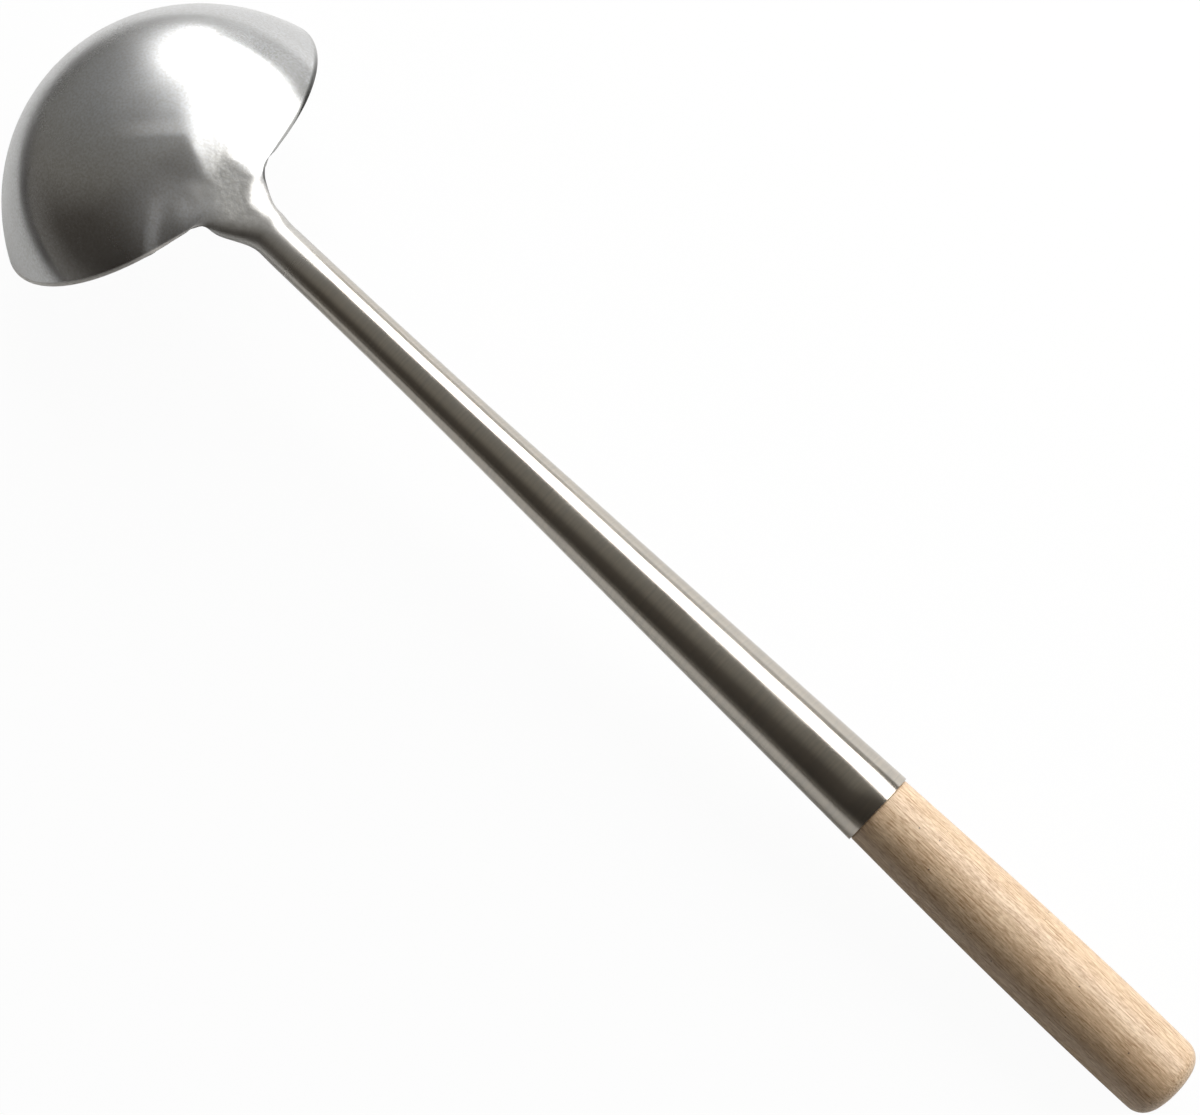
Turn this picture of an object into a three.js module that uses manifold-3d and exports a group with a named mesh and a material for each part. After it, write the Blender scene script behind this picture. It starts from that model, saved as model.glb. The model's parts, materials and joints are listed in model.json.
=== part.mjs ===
// A wok ladle. One steel sheet is pressed into the bowl and rolled into the neck and the tapered shaft,
// a turned beech grip is driven into the shaft's mouth, and a nail keeps the grip from pulling out.
// Millimetres, +Z up. The ladle lies on a table, bowl face down, on the far rim and the butt of the grip.
// The pieces are drawn in the handle's frame: origin on the shaft's axis at the neck, X towards the grip,
// Z towards the back of the bowl. The last section lays the whole ladle on the table.

import * as THREE from 'three';
import { mergeVertices } from 'three/addons/utils/BufferGeometryUtils.js';
import Module from 'manifold-3d';

const wasm = await Module();
wasm.setup();

// Driving dimensions of the steel sheet, in millimetres and degrees
const SHEET_THICKNESS = 1.0;
const BOWL_RIM_DIAMETER = 120;
const BOWL_DEPTH = 36.8;
const RIM_TO_SHAFT_ANGLE = 33.9;
const RIM_OVER_AXIS = 2.2;
const NECK_WIDTH = 24;
const NECK_LENGTH = 19;
const NECK_FILLET = 3;
const NOSE_WIDTH = 42;
const NOSE_EASE = 1.6;
const SHAFT_LENGTH = 253.2;
const SHAFT_NECK_DIAMETER = 12.6;
const SHAFT_MOUTH_DIAMETER = 21.5;
const FLARE_LENGTH = 100;
const SEAM_GAP = 0.6;

// Driving dimensions of the grip and its nail
const GRIP_LENGTH = 96.6;
const GRIP_SHOULDER_DIAMETER = 20.3;
const GRIP_SWELL_DIAMETER = 22.6;
const GRIP_SWELL_FROM_BUTT = 30;
const GRIP_BUTT_DIAMETER = 22;
const GRIP_BUTT_ROUNDING = 4.5;
const TENON_LENGTH = 45;
const TENON_CHAMFER = 1.5;
const NAIL_FROM_MOUTH = 14;
const NAIL_FROM_SEAM = 40;
const NAIL_SHANK_DIAMETER = 1.8;
const NAIL_HEAD_DIAMETER = 4.2;
const NAIL_HEAD_HEIGHT = 0.9;
const NAIL_LENGTH = 12;
const NAIL_POINT = 2.5;
const CLEARANCE = 0.3;

// How finely the curved faces are cut
const ACROSS_SHEET = 32;
const ROUND_RIM = 28;
const RIM_CROWDING = 0.4;
const ALONG_NECK = 10;
const NECK_CROWDING = 1.5;
const ALONG_FLARE = 6;
const ALONG_CONE = 2;
const ROUND_GRIP = 32;
const ALONG_GRIP = 8;
const ROUND_NAIL = 16;
const ARC_STEPS = 5;
const TINY_STEP = 1e-4;

// The shaft: a slim neck end that swells over the flare into a straight cone
const shaftNeckRadius = SHAFT_NECK_DIAMETER / 2;
const shaftMouthRadius = SHAFT_MOUTH_DIAMETER / 2;
const coneRun = SHAFT_LENGTH - NECK_LENGTH - FLARE_LENGTH / 2;
const coneSlope = (shaftMouthRadius - shaftNeckRadius) / coneRun;

function shaftRadius(x) {
  const run = Math.max(x - NECK_LENGTH, 0);
  const swell = run < FLARE_LENGTH ? (run * run) / (2 * FLARE_LENGTH) : run - FLARE_LENGTH / 2;
  return shaftNeckRadius + coneSlope * swell;
}

// The bowl: a cap of a sphere whose rim plane leans on the shaft
const rimRadius = BOWL_RIM_DIAMETER / 2;
const bowlRadius = (rimRadius ** 2 + BOWL_DEPTH ** 2) / (2 * BOWL_DEPTH);
const rimHalfAngle = Math.acos((bowlRadius - BOWL_DEPTH) / bowlRadius);
const shaftLean = THREE.MathUtils.degToRad(RIM_TO_SHAFT_ANGLE);
const towardsNeck = new THREE.Vector3(Math.cos(shaftLean), 0, Math.sin(shaftLean));
const towardsDome = new THREE.Vector3(-Math.sin(shaftLean), 0, Math.cos(shaftLean));
const sphereCentre = new THREE.Vector3(0, 0, RIM_OVER_AXIS)
  .addScaledVector(towardsNeck, -rimRadius)
  .addScaledVector(towardsDome, BOWL_DEPTH - bowlRadius);

// A section of the sheet lies in a plane square to the sheet. It has a crown on the ladle's plane of
// symmetry, an up direction there, and an outline of (sideways, up) points measured from the crown,
// given for shares from -1 at one free edge to 1 at the other.
const neckHalfWidth = NECK_WIDTH / 2 + NECK_FILLET;
const neckRimAngle = Math.asin(neckHalfWidth / rimRadius);

function bell(share) {
  return Math.abs(share) < 1 ? (1 - share * share) ** 2 : 0;
}

// The rounded nose of the neck lifts the dome until its crown reaches the line of the shaft's top
function noseLift(up) {
  const rise = (shaftNeckRadius - sphereCentre.z - bowlRadius * up.z) / up.z;
  return up.x > 0 ? (rise + Math.hypot(rise, NOSE_EASE)) / 2 : 0;
}

function bowlSection(rimAngle) {
  const lean = Math.atan(Math.tan(rimHalfAngle) * Math.cos(rimAngle));
  const halfTurn = Math.asin(Math.sin(rimHalfAngle) * Math.sin(rimAngle));
  const up = towardsDome.clone().multiplyScalar(Math.cos(lean)).addScaledVector(towardsNeck, Math.sin(lean));
  const lift = noseLift(up);
  const crown = sphereCentre.clone().addScaledVector(up, bowlRadius + lift);
  const outline = (share) => {
    const turn = halfTurn * share;
    const sideways = bowlRadius * Math.sin(turn);
    const drop = bowlRadius * (Math.cos(turn) - 1) - lift;
    return new THREE.Vector2(sideways, drop + lift * bell((2 * sideways) / NOSE_WIDTH));
  };
  return { crown, up, outline };
}

function arcOutline(radius, halfTurn) {
  return (share) => new THREE.Vector2(
    radius * Math.sin(halfTurn * share),
    radius * (Math.cos(halfTurn * share) - 1),
  );
}

function shaftSection(x) {
  const radius = shaftRadius(x);
  return {
    crown: new THREE.Vector3(x, 0, radius),
    up: new THREE.Vector3(0, 0, 1),
    outline: arcOutline(radius, Math.PI - SEAM_GAP / (2 * radius)),
  };
}

// The neck: the free edges run out of the rim in a fillet, and the sheet curls until they meet below
const neckRoot = bowlSection(neckRimAngle);
const neckRootDrop = -neckRoot.outline(1).y;
const neckRootTurn = 2 * Math.atan(neckRootDrop / neckHalfWidth);
const neckEnd = shaftSection(NECK_LENGTH);
const neckEndTurn = Math.PI - SEAM_GAP / (2 * shaftNeckRadius);

function neckSection(share) {
  const ease = THREE.MathUtils.smoothstep(share, 0, 1);
  const alongFillet = Math.min((share * NECK_LENGTH) / NECK_FILLET, 1);
  const fillet = NECK_FILLET * (1 - Math.sqrt(1 - (1 - alongFillet) ** 2));
  const halfWidth = THREE.MathUtils.lerp(NECK_WIDTH / 2, shaftNeckRadius, ease) + fillet;
  const halfTurn = THREE.MathUtils.lerp(neckRootTurn, neckEndTurn, share);
  const curled = arcOutline(halfWidth / Math.sin(Math.min(halfTurn, Math.PI / 2)), halfTurn);
  const outline = (place) => {
    const spread = neckRoot.outline(place);
    spread.x *= halfWidth / neckHalfWidth;
    return spread.lerp(curled(place), Math.min(2 * share, 1));
  };
  return {
    crown: neckRoot.crown.clone().lerp(neckEnd.crown, share),
    up: neckRoot.up.clone().lerp(neckEnd.up, ease).normalize(),
    outline,
  };
}

function sheetSections() {
  const sections = [];
  for (let i = 0; i < ROUND_RIM; i += 1) {
    const share = (i + 0.5) / (ROUND_RIM + 0.5);
    const crowded = share + (RIM_CROWDING * Math.sin(2 * Math.PI * share)) / (2 * Math.PI);
    sections.push(bowlSection(THREE.MathUtils.lerp(Math.PI, neckRimAngle, crowded)));
  }
  for (let i = 0; i < ALONG_NECK; i += 1) sections.push(neckSection((i / ALONG_NECK) ** NECK_CROWDING));
  for (let i = 0; i <= ALONG_FLARE; i += 1) {
    sections.push(shaftSection(NECK_LENGTH + (FLARE_LENGTH * i) / ALONG_FLARE));
  }
  const coneLength = SHAFT_LENGTH - NECK_LENGTH - FLARE_LENGTH;
  for (let i = 1; i <= ALONG_CONE; i += 1) {
    sections.push(shaftSection(SHAFT_LENGTH - coneLength * (1 - i / ALONG_CONE)));
  }
  return sections;
}

// A point of the sheet on its back, or on its inner face one sheet thickness below
function sheetPoint(section, share, depth) {
  const place = section.outline(share);
  const slope = section.outline(share + TINY_STEP).sub(section.outline(share - TINY_STEP)).normalize();
  const sideways = place.x + slope.y * depth;
  const upwards = place.y - slope.x * depth;
  return section.crown.clone()
    .addScaledVector(section.up, upwards)
    .add(new THREE.Vector3(0, sideways, 0));
}

function sheetGeometry() {
  const sections = sheetSections();
  const positions = [];
  const index = [];
  for (const depth of [0, SHEET_THICKNESS]) {
    for (const section of sections) {
      for (let j = 0; j <= ACROSS_SHEET; j += 1) {
        positions.push(...sheetPoint(section, (2 * j) / ACROSS_SHEET - 1, depth).toArray());
      }
    }
  }
  const row = ACROSS_SHEET + 1;
  const last = sections.length - 1;
  const back = (i, j) => i * row + j;
  const front = (i, j) => (sections.length + i) * row + j;
  const quad = (a, b, c, d) => index.push(a, b, c, a, c, d);
  for (let i = 0; i < last; i += 1) {
    for (let j = 0; j < ACROSS_SHEET; j += 1) {
      quad(back(i, j), back(i + 1, j), back(i + 1, j + 1), back(i, j + 1));
      quad(front(i, j), front(i, j + 1), front(i + 1, j + 1), front(i + 1, j));
    }
    quad(back(i, 0), front(i, 0), front(i + 1, 0), back(i + 1, 0));
    quad(back(i, ACROSS_SHEET), back(i + 1, ACROSS_SHEET), front(i + 1, ACROSS_SHEET), front(i, ACROSS_SHEET));
  }
  for (let j = 0; j < ACROSS_SHEET; j += 1) {
    quad(back(0, j), back(0, j + 1), front(0, j + 1), front(0, j));
    quad(back(last, j), front(last, j), front(last, j + 1), back(last, j + 1));
  }
  const geometry = new THREE.BufferGeometry();
  geometry.setAttribute('position', new THREE.Float32BufferAttribute(positions, 3));
  geometry.setIndex(index);
  return geometry;
}

// Turned pieces: a profile of (radius, distance along X) points, turned about X
function turnedGeometry(profile, segments) {
  return new THREE.LatheGeometry(profile, segments).rotateZ(-Math.PI / 2);
}

function gripGeometry() {
  const tenonStart = SHAFT_LENGTH - TENON_LENGTH;
  const shoulder = SHAFT_LENGTH + CLEARANCE;
  const butt = SHAFT_LENGTH + GRIP_LENGTH;
  const tenonRadius = (x) => shaftRadius(x) - SHEET_THICKNESS - CLEARANCE;
  const barrel = new THREE.SplineCurve([
    new THREE.Vector2(GRIP_SHOULDER_DIAMETER / 2, shoulder),
    new THREE.Vector2(GRIP_SWELL_DIAMETER / 2, butt - GRIP_SWELL_FROM_BUTT),
    new THREE.Vector2(GRIP_BUTT_DIAMETER / 2, butt - GRIP_BUTT_ROUNDING),
  ]);
  const buttFlat = GRIP_BUTT_DIAMETER / 2 - GRIP_BUTT_ROUNDING;
  const profile = [
    new THREE.Vector2(0, tenonStart),
    new THREE.Vector2(tenonRadius(tenonStart) - TENON_CHAMFER, tenonStart),
    new THREE.Vector2(tenonRadius(tenonStart + TENON_CHAMFER), tenonStart + TENON_CHAMFER),
    new THREE.Vector2(tenonRadius(shoulder), shoulder),
    ...barrel.getPoints(ALONG_GRIP),
  ];
  for (let i = 1; i <= ARC_STEPS; i += 1) {
    const turn = (Math.PI / 2) * (i / ARC_STEPS);
    profile.push(new THREE.Vector2(
      buttFlat + GRIP_BUTT_ROUNDING * Math.cos(turn),
      butt - GRIP_BUTT_ROUNDING * (1 - Math.sin(turn)),
    ));
  }
  profile.push(new THREE.Vector2(0, butt));
  return turnedGeometry(profile, ROUND_GRIP);
}

// The nail stands square to the shaft's wall, a little way round from the seam
const nailTurn = Math.PI - THREE.MathUtils.degToRad(NAIL_FROM_SEAM);
const nailX = SHAFT_LENGTH - NAIL_FROM_MOUTH;
const nailSeat = shaftRadius(nailX);

function placeNail(geometry) {
  return geometry.rotateX(Math.PI / 2 - nailTurn).translate(nailX, 0, 0);
}

function nailGeometry() {
  const shank = NAIL_SHANK_DIAMETER / 2;
  const head = NAIL_HEAD_DIAMETER / 2;
  const tip = nailSeat - NAIL_LENGTH;
  const underHead = nailSeat + CLEARANCE;
  const profile = [
    new THREE.Vector2(0, tip),
    new THREE.Vector2(shank, tip + NAIL_POINT),
    new THREE.Vector2(shank, underHead),
  ];
  for (let i = 0; i < ARC_STEPS; i += 1) {
    const turn = (Math.PI / 2) * (i / ARC_STEPS);
    profile.push(new THREE.Vector2(head * Math.cos(turn), underHead + NAIL_HEAD_HEIGHT * Math.sin(turn)));
  }
  profile.push(new THREE.Vector2(0, underHead + NAIL_HEAD_HEIGHT));
  return placeNail(new THREE.LatheGeometry(profile, ROUND_NAIL));
}

function nailHoleGeometry() {
  const bottom = nailSeat - NAIL_LENGTH - CLEARANCE;
  const top = nailSeat + NAIL_HEAD_HEIGHT;
  const hole = new THREE.CylinderGeometry(
    NAIL_SHANK_DIAMETER / 2 + CLEARANCE,
    NAIL_SHANK_DIAMETER / 2 + CLEARANCE,
    top - bottom,
    ROUND_NAIL,
  );
  return placeNail(hole.translate(0, (top + bottom) / 2, 0));
}

// Closed solids: shared vertices are merged and the empty triangles at the poles are left out
function solidOf(geometry) {
  const bare = geometry.clone();
  bare.deleteAttribute('normal');
  bare.deleteAttribute('uv');
  const merged = mergeVertices(bare);
  const corners = merged.index.array;
  const triangles = [];
  for (let i = 0; i < corners.length; i += 3) {
    const [a, b, c] = corners.subarray(i, i + 3);
    if (a !== b && b !== c && c !== a) triangles.push(a, b, c);
  }
  return new wasm.Manifold(new wasm.Mesh({
    numProp: 3,
    vertProperties: new Float32Array(merged.attributes.position.array),
    triVerts: new Uint32Array(triangles),
  }));
}

function geometryOf(solid) {
  const mesh = solid.getMesh();
  const geometry = new THREE.BufferGeometry();
  geometry.setAttribute('position', new THREE.BufferAttribute(mesh.vertProperties, 3));
  geometry.setIndex(new THREE.BufferAttribute(mesh.triVerts, 1));
  geometry.computeVertexNormals();
  return geometry;
}

function piece(name, geometry, look) {
  const mesh = new THREE.Mesh(geometry, new THREE.MeshStandardMaterial(look));
  mesh.name = name;
  return mesh;
}

// The pieces: the nail's hole goes through the shaft's wall and into the grip's tenon
const nailHole = solidOf(nailHoleGeometry());
const steelBody = piece('steel_body', geometryOf(solidOf(sheetGeometry()).subtract(nailHole)), {
  color: '#b9b8b5',
  roughness: 0.32,
  metalness: 1.0,
});
const beechGrip = piece('beech_grip', geometryOf(solidOf(gripGeometry()).subtract(nailHole)), {
  color: '#d8b78f',
  roughness: 0.62,
  metalness: 0.0,
});
const gripNail = piece('grip_nail', geometryOf(solidOf(nailGeometry())), {
  color: '#a9a8a4',
  roughness: 0.4,
  metalness: 1.0,
});

// Lays the ladle down: the slope brings the lowest point of the bowl level with that of the grip
const sidewaysAxis = new THREE.Vector3(0, 1, 0);

function lowestPoint(mesh, slope) {
  const position = mesh.geometry.attributes.position;
  const turned = new THREE.Vector3();
  const lowest = new THREE.Vector3(0, 0, Infinity);
  for (let i = 0; i < position.count; i += 1) {
    turned.fromBufferAttribute(position, i).applyAxisAngle(sidewaysAxis, slope);
    if (turned.z < lowest.z) lowest.copy(turned);
  }
  return lowest;
}

const LEVELLING_ROUNDS = 8;
let restSlope = 0;
for (let round = 0; round < LEVELLING_ROUNDS; round += 1) {
  const underBowl = lowestPoint(steelBody, restSlope);
  const underGrip = lowestPoint(beechGrip, restSlope);
  restSlope += Math.atan2(underGrip.z - underBowl.z, underGrip.x - underBowl.x);
}

const ladle = new THREE.Group();
ladle.add(steelBody, beechGrip, gripNail);
ladle.rotation.y = restSlope;
const reach = new THREE.Box3().setFromObject(ladle, true);
const middle = reach.getCenter(new THREE.Vector3());
ladle.position.set(-middle.x, -middle.y, -reach.min.z);

const wokLadle = new THREE.Group();
wokLadle.add(ladle);

export default wokLadle;
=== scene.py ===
# A wok ladle lying bowl face down on a white table, under a large softbox and a smaller oval card.
# Sizes are in millimetres and angles in degrees, unless a heading says otherwise. Blender's objects are in
# metres. The main sizes repeat the part's own values. The neck is shaped more finely than the part's solid.

import json
import math

import bpy
from mathutils import Matrix, Vector


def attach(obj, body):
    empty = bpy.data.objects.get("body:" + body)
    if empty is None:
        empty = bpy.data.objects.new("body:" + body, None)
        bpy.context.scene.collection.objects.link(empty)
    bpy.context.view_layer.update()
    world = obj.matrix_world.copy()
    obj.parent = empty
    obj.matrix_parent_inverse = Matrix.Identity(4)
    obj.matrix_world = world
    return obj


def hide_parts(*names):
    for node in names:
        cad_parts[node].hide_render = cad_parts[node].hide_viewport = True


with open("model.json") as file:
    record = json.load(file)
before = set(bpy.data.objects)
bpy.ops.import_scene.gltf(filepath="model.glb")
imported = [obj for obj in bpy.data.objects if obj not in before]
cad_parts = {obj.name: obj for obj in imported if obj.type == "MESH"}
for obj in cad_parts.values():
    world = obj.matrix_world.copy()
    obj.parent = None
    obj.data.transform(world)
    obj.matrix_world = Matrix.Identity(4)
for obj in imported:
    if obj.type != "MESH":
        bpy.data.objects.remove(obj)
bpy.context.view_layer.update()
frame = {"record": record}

MM = 0.001

# The steel sheet
SHEET_THICKNESS = 1.0
BOWL_RIM_DIAMETER = 120
BOWL_DEPTH = 36.8
RIM_TO_SHAFT_ANGLE = 33.9
RIM_OVER_AXIS = 2.2
NECK_WIDTH = 24
NECK_LENGTH = 19
NECK_FILLET = 5
NECK_NARROWING = ((0.22, 1), (-0.05, 0.75))
NECK_SETTING = (0.4, 0.28)
NECK_BEND_TIGHTNESS = (5.5, 10)
NECK_TILTS = (0, 26)
NECK_TILT_START = 0.75
PAD_BORDERS = (0.64, 0.17)
PAD_BORDER_RUN = 0.4
PAD_BORDER_SOFTNESS = 0.18
NECK_CURL_GROWTH = 0.9
NOSE_CENTRE = -2.5
NOSE_ASIDE = 1
NOSE_ASIDE_END = 4
NOSE_RADIUS = 6.3
NOSE_FOOT_RADIUS = 10.5
NOSE_EASE = 0.6
KEEL_HEIGHT = 1.6
KEEL_START = (-9, -1.5)
KEEL_END = (-20, 2.3)
KEEL_FALLS = (42, 15)
KEEL_RUN = (-32, -18)
KEEL_BLUNTNESS = (1, 8)
KEEL_BLUNT_START = 0.6
KEEL_START_SIZE = 0.75
SHOULDER_HEIGHTS = (2.1, 1.8)
SHOULDER_RUNS = ((-12, -1), (-7, 0))
SHOULDER_RISE = ((3, 9), (9, 14))
SHOULDER_FALL = (14, 26)
PUCKER_START = (-6.5, -27.5, -1.5)
PUCKER_END = (-13.5, -15.5, 6)
PUCKER_HEIGHT = 0.4
PUCKER_WIDTH = 2.6
PUCKER_STEEPNESS = 2
SHAFT_LENGTH = 253.2
SHAFT_NECK_DIAMETER = 12.6
SHAFT_MOUTH_DIAMETER = 21.5
FLARE_LENGTH = 100
SEAM_GAP = 0.6
EDGE_ROUNDING = 0.42
NECK_SOFT_RUN = (-13, 20)
NECK_SOFTENING = 14
PINNED_EDGE_SHARE = 0.999

# The grip and its nail
GRIP_LENGTH = 96.6
GRIP_SHOULDER_DIAMETER = 20.3
GRIP_SWELL_DIAMETER = 22.6
GRIP_SWELL_FROM_BUTT = 30
GRIP_BUTT_DIAMETER = 22
GRIP_BUTT_ROUNDING = 4.5
SHOULDER_ROUNDING = 0.25
SHOULDER_GAP = 0.05
TENON_LENGTH = 45
TENON_CHAMFER = 1.5
NAIL_FROM_MOUTH = 14
NAIL_FROM_SEAM = 40
NAIL_SHANK_DIAMETER = 1.8
NAIL_HEAD_DIAMETER = 4.2
NAIL_HEAD_HEIGHT = 0.9
NAIL_LENGTH = 12
NAIL_POINT = 2.5
NAIL_TIP_SHARE = 0.1
NAIL_HEAD_GAP = 0.03
CLEARANCE = 0.3

# How finely the pieces are cut
ACROSS_SHEET = 140
FAR_ARC = 90
ALONG_BOWL = 110
ROW_CROWDING = 0.5
ALONG_NECK = 72
CURL_STEPS = 400
NECK_CROWDING = 1.5
ALONG_FLARE = 24
ALONG_CONE = 16
ROUND_GRIP = 96
ALONG_GRIP = 40
ROUND_NAIL = 32
ARC_STEPS = 8
BEVEL_ANGLE = 50
SHADE_ANGLE = 40

# The photograph's camera: its place, and how it is turned
IMAGE_WIDTH_PX = 1200
FOCAL_LENGTH_PX = 1585.6
SENSOR_WIDTH = 36
CAMERA_PLACE = (175.796, -60.240, 436.358)
CAMERA_AZIMUTH = 68.02
CAMERA_ELEVATION = 68.96
CAMERA_ROLL = -24.11

# The studio, in metres
FLOOR_SIZE = 12.0
WHITE = (1, 1, 1, 1)
# The table's colours hold painted shade: shaded away from the softbox, dim far off, lighter towards the
# light
TABLE_PALE = (0.92, 0.92, 0.92, 1)
TABLE_SHADED = (0.7, 0.7, 0.695, 1)
TABLE_SHADE_RUN = (-0.1, 0.04)
TABLE_DIM = (0.2, 0.195, 0.19, 1)
TABLE_DIM_LIT = (0.55, 0.55, 0.545, 1)
TABLE_DIM_LIT_RUN = (0.12, 0.36)
TABLE_PALE_LENGTH = 0.76
TABLE_PALE_WIDTH = 1.5
TABLE_FALL_OFF = 1.35
CAMERA_GLOW = 0.96
MIRRORED_GLOW = 0.05
SOFTBOX_PLACE = (0, 0.971, 0.787)
SOFTBOX_SIZE = (2.6, 0.885)
SOFTBOX_RADIANCE = 4.2
CARD_PLACE = (-1.05, 0.67, 0.49)
CARD_SIZE = (0.43, 0.78)
CARD_RADIANCE = 2.2
BOWL_MIDDLE = (-0.16, 0, 0.04)
ROOM_LIGHT_SIDE = (-0.709, 0.41, 0.574)
ROOM_TONES = (
    (-0.2, (0.0435, 0.039, 0.034, 1)),
    (0.3, (0.077, 0.069, 0.06, 1)),
    (0.55, (0.2, 0.19, 0.17, 1)),
    (0.75, (0.22, 0.215, 0.2, 1)),
    (0.9, (0.24, 0.24, 0.235, 1)),
    (0.97, (0.3, 0.3, 0.295, 1)),
)
HORIZON_TONE = (0.19, 0.18, 0.165, 1)
HORIZON_LIT = (0.95, 0.95, 0.94, 1)
HORIZON_LIGHT_SIDE = (-0.574, 0.819, 0)
HORIZON_LIT_FROM = (0.76, 0.92)
HORIZON_HEIGHT = 0.3
TABLE_ROUGHNESS = 0.9

# How far a noise swings about its middle before its effect is full
WIDE_SWING = (0.3, 0.7)
NARROW_SWING = (0.35, 0.65)

# The steel's finish. Places and runs are in metres in the handle's frame, and the depths of bumps are in
# millimetres. A near side has negative y, and a far side has positive y.
BOWL_POLISH = ((0.6, 0.61, 0.625, 1), (0.68, 0.69, 0.705, 1))
SHAFT_POLISH = ((0.58, 0.53, 0.462, 1), (0.64, 0.59, 0.52, 1))
SHAFT_RUN = (0, 0.045)
SHAFT_LINES = (2400, 50, 50)
SHAFT_SMOOTHER = 0.02
STEEL_ROUGHNESS = 0.2
CLOUD_ROUGHNESS = 0.03
MARK_TONE = (0.46, 0.445, 0.415, 1)
MARK_SHARE = 0.6
MARK_ROUGHNESS = 0.015
SWELL_DEPTH = 0.3
GRAIN_DEPTH = 0.004
# The pad's darker tone is painted shade, standing in for the dim reflection on it
PAD_PAINTED_SHADE_TONE = (0.42, 0.405, 0.375, 1)
PAD_PAINTED_SHADE_SHARE = 0.5
PAD_ROUGHNESS = (0.02, 0.12)
PAD_DENT_DEPTH = 0.12
PAD_BORDER_WAY = (0.469, 0.883)
PAD_BORDER_LINE = (-0.0075, -0.002)
PAD_START = (-0.018, -0.009)
PAD_END = (0.006, 0.022)
PAD_FAR_SIDE = (0.007, 0.011)
# A patch of painted shade beside the nose: a darker colour in place of a dark reflection
PAINTED_DARK_PATCH_TONE = (0.24, 0.23, 0.21, 1)
PAINTED_DARK_PATCH_SHARE = 0.5
PATCH_PLACE = (-0.0045, -0.0065, 0.0055)
PATCH_REACH = (0.001, 0.0055)
CORNER_ROUGHNESS = 0.2
CORNER_PLACE = (-0.0025, -0.012, 0.004)
CORNER_REACH = (0.002, 0.0065)
HAZE_ROUGHNESS = 0.28
HAZE_PLACE = (-0.0115, -0.022, 0.001)
HAZE_REACH = (0.004, 0.018)
# A painted dark line of shade just above the rim, where the bowl meets the table
RIM_PAINTED_SHADE_TONE = (0.2, 0.198, 0.19, 1)
RIM_PAINTED_SHADE_SHARE = 0.75
RIM_LINE = (0.0006, 0.0013)
RIM_END = (-0.006, 0)
RIM_FAR_RUN = (0.02, 0.045)
RIM_FAR_SHARE = 0.35
# A painted dark line of shade along the far free edge by the neck
FAR_EDGE_PAINTED_SHADE_TONE = (0.09, 0.09, 0.087, 1)
FAR_EDGE_PAINTED_SHADE_SHARE = 0.92
FAR_EDGE_LINE = (0.0008, 0.0016)
FAR_EDGE_START = (-0.03, -0.02)
FAR_EDGE_END = (0.004, 0.012)
FAR_EDGE_SIDE = (0.004, 0.01)
# A painted highlight: a pale line along the near free edge by the neck, also rougher there
NEAR_EDGE_PAINTED_HIGHLIGHT_TONE = (0.9, 0.89, 0.87, 1)
NEAR_EDGE_ROUGHNESS = 0.45
NEAR_EDGE_LINE = (0.0008, 0.0014)
NEAR_EDGE_SIDE = (-0.014, -0.008)
NEAR_EDGE_END = (-0.002, 0.004)
MATT_ROUGHNESS = 0.12
MATT_RUN = (-0.085, -0.055)
MATT_HALF_WIDTH = (0.018, 0.034)
WORN_ROUGHNESS = 0.12
WORN_RUN = (-0.045, -0.02)
WORN_HALF_WIDTH = (0.012, 0.026)
BUFFED_SMOOTHER = 0.04
BUFFED_RUN = (-0.0232, -0.0205)
BUFFED_END = (-0.014, -0.005)
KEEL_SIDE_WAY = (1 / 3, 1)
KEEL_SIDE_LINE = (-0.006, -0.0034)
SCUFF_ROUGHNESS = 0.1
SCUFF_START = (-0.0305, -0.026)
SCUFF_END = (-0.0235, -0.021)
SCUFF_NEAR_SIDE = (-0.012, -0.005)
SCUFF_FAR_SIDE = (0.003, 0.008)
STREAK_ROUGHNESS = 0.45
STREAK_ASIDE_WAY = (0.864, 0.504)
STREAK_ALONG_WAY = (-0.504, 0.864)
STREAK_OFFSET = 0.0195
STREAK_HALF_WIDTH = (0.0003, 0.003)
STREAK_END = (-0.017, -0.006)
STREAK_CLOUDS = (0.35, 0.6)
STREAK_THINNEST = 0.7

# The finishes of the sheet's edges, the wood and the nail, in the same units
# The edges' dark tone is partly painted shade, and the mouth's pale tone is partly a painted highlight
DULL_EDGE_AND_PAINTED_SHADE = ((0.2, 0.195, 0.19, 1), (0.36, 0.35, 0.34, 1))
FRESH_EDGE_AND_PAINTED_HIGHLIGHT = ((0.66, 0.64, 0.61, 1), (0.84, 0.82, 0.79, 1))
FRESH_EDGE_RUN = (0.24, 0.25)
EDGE_ROUGHNESS = (0.35, 0.5)
EDGE_SCORE_DEPTH = 0.02
BEECH_GROUND = ((0.83, 0.65, 0.45, 1), (0.74, 0.53, 0.335, 1))
BEECH_BANDS = (5, 170, 170)
BEECH_PATCH_TONE = (0.8, 0.57, 0.365, 1)
BEECH_PATCH_RUN = (0.35, 0.75)
BEECH_PATCH_SHARE = 0.35
FIBRE_TONE = (0.38, 0.22, 0.108, 1)
FIBRE_RUN = (0.39, 0.64)
FIBRE_DASHES = (480, 2600, 2600)
FIBRE_THREADS = (110, 3000, 3000)
FLECK_TONE = (0.3, 0.17, 0.09, 1)
FLECK_RUN = (0.66, 0.74)
FLECK_SHARE = 0.35
FLECK_SPOTS = (300, 1900, 1900)
PORE_TONE = (0.1, 0.06, 0.04, 1)
PORE_RUN = (0.845, 0.86)
PORE_SHARE = 0.8
BEECH_ROUGHNESS = (0.4, 0.52)
BEECH_GRAIN_DEPTH = -0.016
NAIL_TONES = ((0.36, 0.35, 0.33, 1), (0.58, 0.57, 0.55, 1))
NAIL_ROUGHNESS = (0.3, 0.5)
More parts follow.
